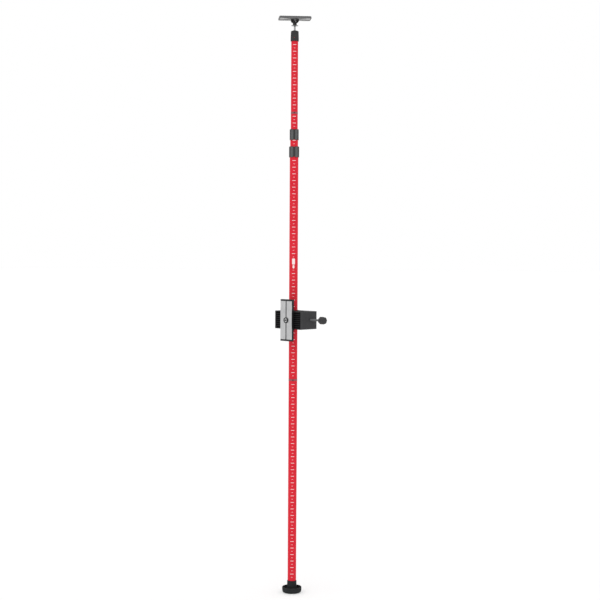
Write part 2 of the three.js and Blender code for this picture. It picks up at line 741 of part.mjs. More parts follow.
function railPieces() {
  const { left, right, half } = BOX;
  const { front, back, cap } = RAIL;
  const holes = RAIL_SCREWS.map(([x, z]) => rodY(BOLT_HOLE.radius, BOLT.tip - 0.3, back + THROUGH, x, z));
  const rail = cut(prismX(railSection(), left + cap + FIT, right - cap - FIT), ...holes);
  const screws = RAIL_SCREWS.map(([x, z], i) => {
    const shank = rodY(BOLT.radius, BOLT.tip, BOLT.seat + BOLT.radius / 2, x, z, 12);
    return piece(`rail_screw_${i + 1}`, join(shank, rodY(BOLT.head, BOLT.seat, BOLT.back, x, z)), steel());
  });
  return [
    piece('ribbed_rail', rail, anodised()),
    piece('rail_cap_left', box(left, left + cap, front, back, -half, half), greyPlastic()),
    piece('rail_cap_right', box(right - cap, right, front, back, -half, half), greyPlastic()),
    ...screws,
  ];
}

// ---------- steel-faced laser plate ----------

function plateFrame() {
  const { x, half, front, strip, back, slot, halfHeight } = LASER_PLATE;
  const face = front + strip + FIT;
  const lip = face + T_SLOT.lip;
  const floor = lip + T_SLOT.depth;
  const shape = outline([
    [x - half, back],
    [x - half, face],
    [x - slot / 2, face],
    [x - slot / 2, lip],
    [x - T_SLOT.half, lip],
    [x - T_SLOT.half, floor],
    [x + T_SLOT.half, floor],
    [x + T_SLOT.half, lip],
    [x + slot / 2, lip],
    [x + slot / 2, face],
    [x + half, face],
    [x + half, back],
  ]);
  return piece('plate_frame', prism(shape, -halfHeight, halfHeight), anodised());
}

// A hook that runs along the rail's top (side 1) or bottom (side -1) edge.
function carriageHook(name, side) {
  const { x, back } = LASER_PLATE;
  const low = BOX.half + HOOK.gap;
  const high = low + HOOK.thickness;
  const section = [
    [back + FIT, low],
    [HOOK.near, low],
    [HOOK.near, BOX.half - HOOK.reach],
    [HOOK.far, BOX.half - HOOK.reach],
    [HOOK.far, high],
    [back + FIT, high],
  ];
  const shape = outline(section.map(([y, z]) => [y, side * z]));
  return piece(name, prismX(shape, x - HOOK.half, x + HOOK.half), blackPlastic());
}

function laserPlatePieces() {
  const { x, half, front, strip, back, slot, halfHeight, cap } = LASER_PLATE;
  const [left, right, edge] = [x - half, x + half, halfHeight + FIT];
  const earEnd = right + EAR.width;
  const ear = box(right + FIT, earEnd, front + EAR.setBack, back, edge - EAR.drop, edge + cap);
  const topCap = join(box(left, earEnd, front, back, edge, edge + cap), ear);
  const strips = [[left, x - slot / 2], [x + slot / 2, right]].map(([x0, x1]) =>
    box(x0, x1, front, front + strip, -halfHeight, halfHeight));
  return [
    plateFrame(),
    piece('steel_strip_left', strips[0], steel()),
    piece('steel_strip_right', strips[1], steel()),
    piece('plate_cap_top', topCap, blackPlastic()),
    piece('plate_cap_bottom', box(left, right, front, back, -edge - cap, -edge), blackPlastic()),
    carriageHook('carriage_hook_top', 1),
    carriageHook('carriage_hook_bottom', -1),
  ];
}

function laserStudPieces() {
  const { x, front, strip, slot } = LASER_PLATE;
  const { head, neckHalf, radius, length, play, sunk, seat } = STUD;
  const lip = front + strip + FIT + T_SLOT.lip;
  const foot = box(x - head, x + head, lip + play, lip + T_SLOT.depth - play, -head, head);
  const neck = box(x - slot / 2 + play, x + slot / 2 - play, front - sunk, lip + 1, -neckHalf, neckHalf);
  const thread = rodY(radius, front - length, front - seat, x, 0, 20);
  const wheelBack = front - WHEEL.gap;
  const wheel = cut(
    rodY(WHEEL.radius, wheelBack - WHEEL.thickness, wheelBack, x, 0, ROUND),
    rodY(WHEEL.bore, wheelBack - WHEEL.thickness - THROUGH, wheelBack + THROUGH, x, 0, 20),
  );
  return [
    piece('laser_stud', join(foot, neck, thread), steel()),
    piece('stud_wheel', wheel, blackPlastic()),
  ];
}

function laserMount() {
  const group = new THREE.Group();
  group.position.z = MOUNT_Z;
  group.rotation.z = MOUNT_YAW;
  group.add(
    clampLiner(),
    clampHousing(),
    clampJaw(),
    ...clampScrewPieces(),
    ...railPieces(),
    ...laserPlatePieces(),
    ...laserStudPieces(),
  );
  return group;
}

// ---------- assembly ----------

const levelingRod = new THREE.Group();
levelingRod.add(
  ...lowerSection(),
  ...middleSection(),
  ...secondSection(),
  ...thirdSection(),
  ...headPieces(),
  ceilingHead(),
  laserMount(),
);

export default levelingRod;
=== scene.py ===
"""Looks of a graduated leveling pole with a clamp-on laser mount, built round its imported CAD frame."""

import json
import math

import bmesh
import bpy
from mathutils import Matrix, Vector


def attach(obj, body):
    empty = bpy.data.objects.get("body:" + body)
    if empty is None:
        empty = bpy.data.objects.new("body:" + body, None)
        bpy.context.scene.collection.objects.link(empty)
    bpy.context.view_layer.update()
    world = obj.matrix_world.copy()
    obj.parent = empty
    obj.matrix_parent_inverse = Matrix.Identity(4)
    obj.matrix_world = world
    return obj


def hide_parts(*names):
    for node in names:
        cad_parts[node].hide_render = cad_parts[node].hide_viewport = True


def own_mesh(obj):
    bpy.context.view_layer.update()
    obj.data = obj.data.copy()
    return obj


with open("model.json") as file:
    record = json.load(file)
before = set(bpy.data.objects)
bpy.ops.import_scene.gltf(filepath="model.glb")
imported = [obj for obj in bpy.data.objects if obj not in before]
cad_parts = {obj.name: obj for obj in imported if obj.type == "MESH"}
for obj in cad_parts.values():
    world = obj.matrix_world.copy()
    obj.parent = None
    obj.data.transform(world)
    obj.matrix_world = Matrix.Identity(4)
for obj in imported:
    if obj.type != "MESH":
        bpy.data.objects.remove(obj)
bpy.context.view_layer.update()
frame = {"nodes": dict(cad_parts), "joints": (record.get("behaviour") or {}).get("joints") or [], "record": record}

# ---------- the frame: shapes below are in mm, and become metres when a piece is made ----------

MM = 0.001
TURN = 2 * math.pi
FRONT = -math.pi / 2  # the graduated side, as an angle about the pole
UP = Vector((0, 0, 1))
TO_X = Matrix.Rotation(math.pi / 2, 4, "Y")
TO_Y = Matrix.Rotation(-math.pi / 2, 4, "X")
FROM_Y = Matrix.Rotation(math.pi / 2, 4, "X")

JOINTS = {joint["name"]: joint for joint in frame["joints"]}
SLOT = {row["node"]: row["material_slot"] for row in frame["record"]["subparts"]}
BODY = {
    node: body
    for body, nodes in frame["record"]["behaviour"]["bodies"].items()
    for node in nodes
}


def heading(joint):
    """The angle about Z of a joint's level axis."""
    x, y, _ = JOINTS[joint]["axis"]
    return math.atan2(y, x)


MOUNT = heading("carriage_slide")
HEAD = heading("yoke_tilt")


def span(node, yaw=0.0):
    """Lowest and highest corner of a CAD node, in the frame turned by yaw about the pole."""
    turn = Matrix.Rotation(-yaw, 3, "Z")
    points = [turn @ vertex.co / MM for vertex in frame["nodes"][node].data.vertices]
    low = Vector([min(point[i] for point in points) for i in range(3)])
    high = Vector([max(point[i] for point in points) for i in range(3)])
    return low, high


def middle(node, yaw=0.0):
    low, high = span(node, yaw)
    return (low + high) / 2


# ---------- colours and materials ----------


def srgb(red, green, blue):
    """A colour given in 0 to 255 screen values, as the linear values that shaders use."""
    def linear(value):
        value /= 255
        return value / 12.92 if value <= 0.04045 else ((value + 0.055) / 1.055) ** 2.4

    return linear(red), linear(green), linear(blue), 1.0


NOISE_SPREAD = (0.3, 0.7)
MIX_FIRST, MIX_SECOND, MIX_RESULT = 6, 7, 2  # the Mix node's colour sockets


class Look:
    """A procedural material. Its patterns are fixed to the object's own coordinates."""

    def __init__(self, name, metallic, specular, **more):
        self.name = name
        self.material = bpy.data.materials.new(name)
        self.material.use_nodes = True
        tree = self.material.node_tree
        self.nodes = tree.nodes
        self.links = tree.links
        self.shader = self.nodes["Principled BSDF"]
        self.shader.inputs["Metallic"].default_value = metallic
        self.shader.inputs["Specular IOR Level"].default_value = specular
        for socket, value in more.items():
            self.shader.inputs[socket.replace("_", " ")].default_value = value
        self.place = self.nodes.new("ShaderNodeTexCoord").outputs["Object"]

    def noise(self, scale, stretch=(1, 1, 1), detail=3.0, rough=0.55):
        """A noise value, with scale in features per metre."""
        mapping = self.nodes.new("ShaderNodeMapping")
        mapping.inputs["Scale"].default_value = stretch
        self.links.new(self.place, mapping.inputs["Vector"])
        texture = self.nodes.new("ShaderNodeTexNoise")
        texture.inputs["Scale"].default_value = scale
        texture.inputs["Detail"].default_value = detail
        texture.inputs["Roughness"].default_value = rough
        self.links.new(mapping.outputs["Vector"], texture.inputs["Vector"])
        return texture.outputs["Fac"]

    def cells(self, scale):
        """Distance to the middle of small random cells, for a moulded grain."""
        texture = self.nodes.new("ShaderNodeTexVoronoi")
        texture.inputs["Scale"].default_value = scale
        self.links.new(self.place, texture.inputs["Vector"])
        return texture.outputs["Distance"]

    def edges(self):
        """High along convex edges and low in corners."""
        return self.nodes.new("ShaderNodeNewGeometry").outputs["Pointiness"]

    def radius(self):
        """Distance from the pole's axis, in metres."""
        flat = self.nodes.new("ShaderNodeVectorMath")
        flat.operation = "MULTIPLY"
        flat.inputs[1].default_value = (1, 1, 0)
        self.links.new(self.place, flat.inputs[0])
        length = self.nodes.new("ShaderNodeVectorMath")
        length.operation = "LENGTH"
        self.links.new(flat.outputs["Vector"], length.inputs[0])
        return length.outputs["Value"]

    def ranged(self, value, low, high, start, end):
        """value from low to high, as start to end."""
        node = self.nodes.new("ShaderNodeMapRange")
        for socket, number in zip(("From Min", "From Max", "To Min", "To Max"), (low, high, start, end)):
            node.inputs[socket].default_value = number
        self.links.new(value, node.inputs["Value"])
        return node.outputs["Result"]

    def spread(self, noise, start=0, end=1):
        """The usual spread of a noise value, as start to end."""
        return self.ranged(noise, *NOISE_SPREAD, start, end)

    def mixed(self, factor, first, second):
        """first turning to second as factor rises. Either may be a colour or a socket."""
        node = self.nodes.new("ShaderNodeMix")
        node.data_type = "RGBA"
        self.links.new(factor, node.inputs["Factor"])
        for socket, value in ((node.inputs[MIX_FIRST], first), (node.inputs[MIX_SECOND], second)):
            if isinstance(value, bpy.types.NodeSocket):
                self.links.new(value, socket)
            else:
                socket.default_value = value
        return node.outputs[MIX_RESULT]

    def colour(self, output):
        self.links.new(output, self.shader.inputs["Base Color"])
        return self

    def roughness(self, value, low, high):
        self.links.new(self.spread(value, low, high), self.shader.inputs["Roughness"])
        return self

    def bump(self, value, depth_mm, strength=1.0):
        node = self.nodes.new("ShaderNodeBump")
        node.inputs["Strength"].default_value = strength
        node.inputs["Distance"].default_value = depth_mm * MM
        self.links.new(value, node.inputs["Height"])
        self.links.new(node.outputs["Normal"], self.shader.inputs["Normal"])
        return self


def tube_paint():
    """Red satin finish with faint lengthwise draw lines."""
    look = Look("tube_paint", metallic=0.1, specular=0.08)
    streaks = look.noise(900, stretch=(1, 1, 0.02), detail=2)
    clouds = look.noise(25, detail=2)
    base = look.mixed(look.spread(clouds), srgb(218, 44, 58), srgb(211, 40, 54))
    look.colour(look.mixed(look.ranged(streaks, 0.35, 0.7, 0, 0.35), base, srgb(194, 36, 48)))
    return look.roughness(streaks, 0.4, 0.52).bump(look.noise(2600, detail=2), 0.015, 0.4)


def white_ink():
    """Matt print with a faint grain."""
    look = Look("white_ink", metallic=0, specular=0.15)
    grain = look.noise(1800)
    look.colour(look.mixed(look.spread(grain), srgb(246, 234, 233), srgb(236, 214, 214)))
    return look.roughness(grain, 0.45, 0.6).bump(grain, 0.02, 0.4)


DUST = 0.4
EDGE_POINTINESS = (0.51, 0.6)
EDGE_WEAR = 0.8
ROUGHNESS_VARIATION = 0.06


def moulded(name, base, worn, roughness, grain_scale, depth, specular=0.12):
    """Plastic or rubber with a fine moulded grain, paler along its worn edges."""
    look = Look(name, metallic=0, specular=specular)
    grain = look.cells(grain_scale)
    clouds = look.noise(60, detail=4)
    dusty = tuple((1 - DUST) * low + DUST * high for low, high in zip(base, worn))
    body = look.mixed(look.ranged(clouds, 0.45, 0.75, 0, 1), base, dusty)
    look.colour(look.mixed(look.ranged(look.edges(), *EDGE_POINTINESS, 0, EDGE_WEAR), body, worn))
    look.roughness(clouds, roughness - ROUGHNESS_VARIATION, roughness + ROUGHNESS_VARIATION)
    return look.bump(grain, depth, 0.6)


def soft_grip(name, valley, ridge):
    """Grey soft-touch rubber with painted shade in the valleys between its lobes. Both radii are in mm."""
    look = Look(name, metallic=0, specular=0.12, Sheen_Weight=0.05)
    clouds = look.noise(180, detail=4)
    pale = look.mixed(look.ranged(clouds, 0.35, 0.7, 0, 1), srgb(96, 97, 97), srgb(84, 85, 85))
    # painted shade: the colour runs from dark grey at the valley radius to the pale grey at the ridges
    height = look.ranged(look.radius(), valley * MM, ridge * MM, 0, 1)
    look.colour(look.mixed(height, srgb(46, 46, 46), pale))
    return look.roughness(clouds, 0.62, 0.78).bump(look.cells(2200), 0.05, 0.5)


def brushed(name, base, dull, stretch, metallic=1.0, low=0.26, high=0.42):
    """Bare metal brushed along one direction."""
    look = Look(name, metallic=metallic, specular=0.5 if metallic else 0.1)
    lines = look.noise(1600, stretch=stretch, detail=4)
    clouds = look.noise(35, detail=3)
    tone = look.mixed(look.spread(lines), base, dull)
    look.colour(look.mixed(look.ranged(clouds, 0.4, 0.75, 0, 0.5), tone, dull))
    return look.roughness(lines, low, high).bump(lines, 0.008, 0.35)


ALL_LOOKS = (
    tube_paint(),
    white_ink(),
    moulded("foot_rubber", srgb(36, 38, 39), srgb(52, 54, 55), 0.8, 1500, 0.06),
    soft_grip("lower_grip", 18.3, 19.3),
    soft_grip("upper_grip", 16.75, 17.2),
    moulded("head_grip", srgb(54, 54, 54), srgb(66, 66, 66), 0.7, 2200, 0.05),
    moulded("black_plastic", srgb(36, 37, 38), srgb(60, 61, 62), 0.5, 2600, 0.03),
    moulded("knob_plastic", srgb(58, 58, 59), srgb(76, 76, 77), 0.5, 2600, 0.03),
    moulded("ring_plastic", srgb(146, 82, 88), srgb(156, 94, 98), 0.5, 2600, 0.03),
    moulded("button_plastic", srgb(84, 58, 60), srgb(98, 74, 76), 0.5, 2600, 0.03),
    moulded("housing_plastic", srgb(54, 54, 55), srgb(72, 72, 73), 0.58, 2400, 0.04),
    # painted shade: near black with little gloss, for the shade down in the rail's grooves
    moulded("groove_painted_shade", srgb(10, 10, 11), srgb(18, 18, 19), 0.7, 2400, 0.02, specular=0.03),
    moulded("tray_plastic", srgb(98, 98, 99), srgb(110, 110, 111), 0.58, 2400, 0.04),
    # painted light: a pale grey that stands in for light reflected in the ceiling tray's pockets
    moulded("tray_painted_light", srgb(166, 166, 166), srgb(180, 180, 180), 0.55, 2000, 0.04),
    moulded("pad_rubber", srgb(88, 88, 89), srgb(100, 100, 101), 0.8, 1500, 0.06),
    moulded("nylon", srgb(222, 220, 212), srgb(236, 234, 228), 0.5, 2000, 0.03, specular=0.4),
    brushed("steel", srgb(206, 206, 206), srgb(176, 177, 178), (1, 1, 0.03)),
    brushed("thread_steel", srgb(126, 127, 128), srgb(88, 89, 90), (1, 1, 1)),
    brushed("chrome", srgb(176, 177, 178), srgb(144, 145, 146), (1, 1, 0.1), low=0.2, high=0.34),
    brushed("disc_steel", srgb(140, 141, 142), srgb(116, 117, 118), (1, 1, 1)),
    brushed("brass", srgb(190, 154, 84), srgb(160, 128, 68), (1, 1, 1)),
    brushed("anodised", srgb(36, 36, 37), srgb(26, 26, 27), (0.1, 0.1, 1), metallic=0, low=0.42, high=0.55),
)
LOOKS = {look.name: look for look in ALL_LOOKS}

# ---------- solids, each a bmesh in mm ----------

CORNER_SHARE = 0.48  # the most of an edge that one round corner takes
WELD = 0.002
SAME_FACE = math.radians(1)


def fillet(points, steps=4):
    """A closed outline whose points may carry a third value, the radius of a round corner."""
    result = []
    for i, point in enumerate(points):
        corner = Vector(point[:2])
        if len(point) < 3:
            result.append(tuple(corner))
            continue
        before = Vector(points[i - 1][:2]) - corner
        after = Vector(points[(i + 1) % len(points)][:2]) - corner
        reach = min(point[2], CORNER_SHARE * before.length, CORNER_SHARE * after.length)
        start = corner + before.normalized() * reach
        end = corner + after.normalized() * reach
        for k in range(steps + 1):
            t = k / steps
            result.append(tuple((1 - t) ** 2 * start + 2 * t * (1 - t) * corner + t * t * end))
    return result


def skin(solid, sections, loop=False):
    """Joins a row of closed sections, each a list of points, into one closed surface."""
    rows = [[solid.verts.new(point) for point in section] for section in sections]
    for i in range(len(rows) if loop else len(rows) - 1):
        near, far = rows[i], rows[(i + 1) % len(rows)]
        for j in range(len(near)):
            k = (j + 1) % len(near)
            solid.faces.new((near[j], near[k], far[k], far[j]))
    if not loop:
        solid.faces.new(rows[0])
        solid.faces.new(rows[-1])
    return solid


def tidy(solid):
    bmesh.ops.remove_doubles(solid, verts=solid.verts, dist=WELD)
    bmesh.ops.recalc_face_normals(solid, faces=solid.faces)
    return solid


def lathe(profile, facets=96, shape=None, start=FRONT, sweep=TURN):
    """Turns a closed outline of (radius, z) about Z. shape may move a point by its angle from the start."""
    whole = sweep >= TURN
    sections = []
    for i in range(facets if whole else facets + 1):
        angle = sweep * i / facets
        points = [shape(radius, z, angle) if shape else (radius, z) for radius, z in profile]
        cosine, sine = math.cos(start + angle), math.sin(start + angle)
        sections.append([(radius * cosine, radius * sine, z) for radius, z in points])
    return tidy(skin(bmesh.new(), sections, loop=whole))


def prism(outline, bottom, top):
    return tidy(skin(bmesh.new(), [[(x, y, z) for x, y in outline] for z in (bottom, top)]))


def block(low, high):
    x0, y0, z0 = low
    x1, y1, z1 = high
    return prism([(x0, y0), (x1, y0), (x1, y1), (x0, y1)], z0, z1)


def rod(radius, bottom, top, facets=48, chamfer=0.3):
    profile = [(0, bottom), (radius - chamfer, bottom), (radius, bottom + chamfer)]
    profile += [(radius, top - chamfer), (radius - chamfer, top), (0, top)]
    return lathe(profile, facets)


def moved(solid, matrix=None, to=(0, 0, 0)):
    """The solid turned by a matrix, then moved."""
    solid.transform(Matrix.Translation(to) @ (matrix or Matrix.Identity(4)))
    return solid


def merged(*solids):
    """Several solids that stay apart, as one bmesh."""
    result = bmesh.new()
    for solid in solids:
        mesh = bpy.data.meshes.new("part")
        solid.to_mesh(mesh)
        solid.free()
        result.from_mesh(mesh)
        bpy.data.meshes.remove(mesh)
    return result


def combined(operation, solid, *tools):
    """DIFFERENCE cuts the tools out of the solid, and UNION joins them to it."""
    for tool in tools:
        objects = []
        for shape in (solid, tool):
            mesh = bpy.data.meshes.new("part")
            tidy(shape).to_mesh(mesh)
            shape.free()
            objects.append(bpy.data.objects.new("part", mesh))
            bpy.context.scene.collection.objects.link(objects[-1])
        modifier = objects[0].modifiers.new("combine", "BOOLEAN")
        modifier.operation = operation
        modifier.solver = "EXACT"
        modifier.object = objects[1]
        evaluated = objects[0].evaluated_get(bpy.context.evaluated_depsgraph_get())
        solid = bmesh.new()
        solid.from_mesh(evaluated.data)
        for used in objects:
            mesh = used.data
            bpy.data.objects.remove(used)
            bpy.data.meshes.remove(mesh)
    return solid


def from_cad(node, yaw=0.0):
    """A CAD node's own solid, with the triangles of each flat face joined again."""
    solid = bmesh.new()
    solid.from_mesh(frame["nodes"][node].data)
    solid.transform(Matrix.Scale(1 / MM, 4) @ Matrix.Rotation(-yaw, 4, "Z"))
    tidy(solid)
    bmesh.ops.dissolve_limit(solid, angle_limit=SAME_FACE, verts=solid.verts, edges=solid.edges)
    return solid


# ---------- pieces ----------


def piece(name, solid, looks, like, yaw=0.0, edge=0.0, sharp=32, stands_for=True, paint=None):
    """Makes the solid a visible piece that rides with the CAD node like, and stands for it.
    edge is the width of its round edges, and paint picks one of several looks for a face."""
    tidy(solid)
    names = [looks] if isinstance(looks, str) else looks
    if paint:
        for face in solid.faces:
            face.material_index = paint(face)
    mesh = bpy.data.meshes.new(name)
    solid.to_mesh(mesh)
    solid.free()
    mesh.transform(Matrix.Rotation(yaw, 4, "Z") @ Matrix.Scale(MM, 4))
    mesh.shade_smooth()
    result = bpy.data.objects.new(name, mesh)
    bpy.context.scene.collection.objects.link(result)
    for look in names:
        mesh.materials.append(LOOKS[look].material)
    if edge:
        bevel = result.modifiers.new("edges", "BEVEL")
        bevel.width = edge * MM
        bevel.segments = 3
        bevel.limit_method = "ANGLE"
        bevel.angle_limit = math.radians(sharp)
        bevel.harden_normals = True
    else:
        mesh.set_sharp_from_angle(angle=math.radians(sharp))
    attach(result, BODY[like])
    if stands_for:
        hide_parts(like)
    return result


def thread(radius, depth, pitch, bottom, top, facets=24, steps=6):
    """A screw thread along Z, as a lathe whose radius follows the helix."""
    profile = [(0, bottom)]
    count = round((top - bottom) / pitch * steps)
    profile += [(radius, bottom + (top - bottom) * i / count) for i in range(count + 1)]
    profile.append((0, top))

    def shape(r, z, angle):
        if r == 0:
            return r, z
        phase = ((z - bottom) / pitch - angle / TURN) % 1
        run_out = min(1, (z - bottom) / pitch, (top - z) / pitch)
        return r - depth * (1 - run_out * (1 - abs(2 * phase - 1))), z

    return lathe(profile, facets, shape)


def helix_spring(radius, wire, bottom, top, turns, steps=24, sides=10):
    """A coil spring along Z whose wire ends lie flat."""
    sections = []
    for i in range(turns * steps + 1):
        t = i / (turns * steps)
        angle = t * turns * TURN
        out = Vector((math.cos(angle), math.sin(angle), 0))
        centre = out * radius + Vector((0, 0, bottom + wire + t * (top - bottom - 2 * wire)))
        section = []
        for k in range(sides):
            around = TURN * k / sides
            section.append(centre + wire * (math.cos(around) * out + math.sin(around) * UP))
        sections.append(section)
    return tidy(skin(bmesh.new(), sections))


# ---------- foot ----------

FOOT_UNDERSIDE = 30
FOOT_BULGE = 9.5
FOOT_RIM = 22
FOOT_RIM_WIDTH = 4.7
FOOT_POCKET = 9
FOOT_FLOOR = 7
TREAD_RINGS = (10, 16, 22)
TREAD_GROOVE = ((0, 0), (0.4, 0.9), (1.6, 0.9), (2, 0))
SIDE_GROOVE_HEIGHT = 15
SIDE_GROOVE = ((0, 0), (-0.7, 0.5), (-0.7, 1.2), (0, 1.7))
PIN_CLEARANCE = 0.15


def foot():
    """The rubber boot, and the pin across it."""
    radius, height = span("foot")[1].x, span("foot")[1].z
    tube = span("lower_tube")[1].x + 0.1
    inner = radius - FOOT_RIM_WIDTH
    sole = [(ring + out, up) for ring in TREAD_RINGS for out, up in TREAD_GROOVE]
    side_groove = [(radius + out, SIDE_GROOVE_HEIGHT + up) for out, up in SIDE_GROOVE]
    profile = fillet([
        (0, 0),
        *sole,
        (FOOT_UNDERSIDE, 0, 2.5),
        (radius - 2.4, 2.4, 4),
        (radius, FOOT_BULGE, 4),
        *side_groove,
        (radius, FOOT_RIM, 1.6),
        (inner, FOOT_RIM, 1.6),
        (inner - 1, FOOT_POCKET, 3),
        (tube + 2.4, FOOT_POCKET, 2.5),
        (tube + 2.2, FOOT_RIM),
        (tube + 1.3, height, 0.8),
        (tube, height),
        (tube, FOOT_FLOOR),
        (0, FOOT_FLOOR),
    ])
    pin_low, pin_high = span("foot_pin")
    pin_radius = (pin_high.z - pin_low.z) / 2
    centre = (0, 0, middle("foot_pin").z)
    hole = moved(rod(pin_radius + PIN_CLEARANCE, -radius - 1, radius + 1), TO_X, centre)
    piece("foot_boot", combined("DIFFERENCE", lathe(profile, 128), hole), "foot_rubber", "foot")
    pin = rod(pin_radius, pin_low.x, pin_high.x, 32, 0.4)
    piece("foot_cross_pin", moved(pin, TO_X, centre), "steel", "foot_pin")


# ---------- tubes, their joints and their marks ----------

TUBES = ("lower_tube", "middle_tube", "second_tube", "third_tube", "top_tube")
BUTTON_OF = {"lower_tube": "lower_snap_button", "third_tube": "upper_snap_button"}
WALL = 1.3
OUTSIDE = 40  # farther from the axis than any tube
RUNNING_FIT = 0.25  # the gap round a tube or rod that slides or turns


def ring_profile(inner, outer, bottom, top, corner=0.3):
    return fillet([(inner, bottom), (outer, bottom, corner), (outer, top, corner), (inner, top)], 2)


def button_hole(button, clearance):
    low, high = span(button)
    hole = rod((high.z - low.z) / 2 + clearance, -OUTSIDE, 0)
    return moved(hole, TO_Y, (0, 0, middle(button).z))


def tubes():
    """The five tubes, two of them with a hole for a snap button."""
    for node in TUBES:
        low, high = span(node)
        solid = lathe(ring_profile(high.x - WALL, high.x, low.z, high.z))
        if node in BUTTON_OF:
            solid = combined("DIFFERENCE", solid, button_hole(BUTTON_OF[node], 0.4))
        piece(node + "_wall", solid, "tube_paint", node)


HALF_INCH = 12.7
LONG_MARK = (12.7, 1.8)
SHORT_MARK = (6.2, 1.1)
INK = 0.06


def curved_mark(solid, radius, z, width, height, corner=0.4):
    """A thin bar of ink on the front of the tube, with rounded corners."""
    ends = [0, 0.12 * corner, 0.5 * corner, corner]
    inside = [corner + (width - 2 * corner) * i / 8 for i in range(1, 8)]
    sections = []
    for along in ends + inside + [width - end for end in reversed(ends)]:
        close = min(along, width - along)
        missing = corner - math.sqrt(max(0, corner ** 2 - max(0, corner - close) ** 2))
        half = height / 2 - missing
        angle = FRONT + (along - width / 2) / radius
        corners = ((-INK, -half), (INK, -half), (INK, half), (-INK, half))
        sections.append([
            ((radius + out) * math.cos(angle), (radius + out) * math.sin(angle), z + up)
            for out, up in corners
        ])
    skin(solid, sections)


NOWHERE = (0, 0)


def scale(node, zero, bottom, top, bare=NOWHERE):
    """Inch marks with half-inch marks between them, from bottom to top but not within bare.
    zero is the height of one inch mark."""
    solid = bmesh.new()
    radius = span(node)[1].x
    first = math.ceil((bottom - zero) / HALF_INCH)
    last = math.floor((top - zero) / HALF_INCH)
    for k in range(first, last + 1):
        z = zero + k * HALF_INCH
        if not bare[0] < z < bare[1]:
            curved_mark(solid, radius, z, *(SHORT_MARK if k % 2 else LONG_MARK))
    piece(node + "_scale", solid, "white_ink", node, stands_for=False)


JOINT_GAP = 8
INCH_ABOVE_JOINT = 26.2
INCH_BELOW_LOWER_JOINT = 19.8
INCH_BELOW_UPPER_JOINT = 17.3
BADGE_HEIGHT = 446
BADGE_HALF = 24
BADGE_SHAPES = ((7, 11, 23, 2.5), (-13, 7, 12, 2))  # height above its middle, width, length, corner
BARE_END = 3


def marks():
    """The scales on the tubes, and a blank badge of two plain shapes."""
    foot_top = span("foot")[1].z
    lower_joint = span("lower_joint_collar")[1].z
    lower_grip = span("lower_twist_grip")[0].z
    second_end = span("second_tube")[0].z
    grip_low, grip_high = (corner.z for corner in span("upper_twist_grip"))
    third_end = span("third_tube")[0].z
    upper_joint = span("upper_joint_collar")[1].z
    head = span("head_grip")[0].z
    badge = lower_joint + BADGE_HEIGHT
    no_badge = (badge - BADGE_HALF, badge + BADGE_HALF)
    no_edge = (grip_high - BARE_END, grip_high + BARE_END)
    above_lower = lower_joint + INCH_ABOVE_JOINT
    below_lower = lower_joint - INCH_BELOW_LOWER_JOINT
    above_upper = upper_joint + INCH_ABOVE_JOINT
    below_upper = upper_joint - INCH_BELOW_UPPER_JOINT
    scale("lower_tube", below_lower, bottom=foot_top + JOINT_GAP, top=lower_joint - 10.5)
    scale("middle_tube", above_lower, lower_joint + JOINT_GAP, lower_grip - BARE_END, no_badge)
    scale("second_tube", grip_low - 1.5, bottom=second_end + 20, top=grip_low + 2)
    scale("third_tube", below_upper, third_end + 20, upper_joint - 12, no_edge)
    scale("top_tube", above_upper, bottom=upper_joint + JOINT_GAP, top=head - 6)
    blank = bmesh.new()
    radius = span("middle_tube")[1].x
    for up, width, length, corner in BADGE_SHAPES:
        curved_mark(blank, radius, badge + up, width, length, corner)
    piece("blank_badge", blank, "white_ink", "middle_tube", stands_for=False)


RING_PROUD = 0.25
SLEEVE_GAP = 0.1
SLEEVE_WALL = 1.8
BUTTON_COIL_WIRE = 0.4
BUTTON_COIL_TURNS = 6


def section_joint(side, tube, lip_below, lip_above):
    """The ring between two tubes, whose lips lap over both, and the sprung button that locks them."""
    ring, button, coil = (f"{side}_joint_collar", f"{side}_snap_button", f"{side}_button_spring")
    low, high = span(ring)
    seam = span(tube)[1].z
    around = high.x + 0.02
    proud = high.x + RING_PROUD
    sleeve = span(tube)[1].x - WALL - SLEEVE_GAP
    bore = sleeve - SLEEVE_WALL
    profile = fillet([
        (bore, low.z),
        (sleeve, low.z, 0.4),
        (sleeve, seam + SLEEVE_GAP),
        (around, seam + SLEEVE_GAP),
        (around, seam - lip_below),
        (proud, seam - lip_below, 0.3),
        (proud, high.z + lip_above, 0.3),
        (around, high.z + lip_above),
        (around, high.z),
        (bore, high.z),
    ], 3)
    solid = combined("DIFFERENCE", lathe(profile), button_hole(button, 0.3))
    piece(side + "_joint_ring", solid, "ring_plastic", ring)

    low, high = span(button)
    radius = (high.z - low.z) / 2
    length = high.y - low.y
    dome = fillet([(0, 0), (radius * 0.72, 0.15, 0.8), (radius, 1.3, 0.8), (radius, length), (0, length)])
    solid = moved(lathe(dome, 48), TO_Y, (0, low.y, middle(button).z))
    piece(side + "_button", solid, "button_plastic", button)

    low, high = span(coil)
    spring = helix_spring(radius - 0.9, BUTTON_COIL_WIRE, low.y, high.y, BUTTON_COIL_TURNS)
    result = piece(side + "_button_coil", moved(spring, TO_Y, (0, 0, middle(coil).z)), "steel", coil)
    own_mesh(result)


# ---------- twist collars ----------

GRIP_LOBES = 6
GRIP_RIBS = 90
RIB_DEPTH = 0.08
GRIP_WALL = 1.35
GRIP_LIP = 2.7
ROUND_BELOW = 3.5
ROUND_ABOVE = 4
RUN_OUT_ABOVE = 9
RUN_OUT_BELOW = 8
NOTCH_TOP = 4.6
NOTCH_BOTTOM = 3.4
INNER_NOTCH = 0.45
SIDE_STEPS = 12


def quarter(start, end, level_first, steps=6):
    """A quarter of an ellipse from start to end, level at its start or at its end."""
    points = []
    for i in range(steps + 1):
        turn = math.pi / 2 * i / steps
        far, near = math.sin(turn), 1 - math.cos(turn)
        across, up = (far, near) if level_first else (near, far)
        points.append((start[0] + (end[0] - start[0]) * across, start[1] + (end[1] - start[1]) * up))
    return points


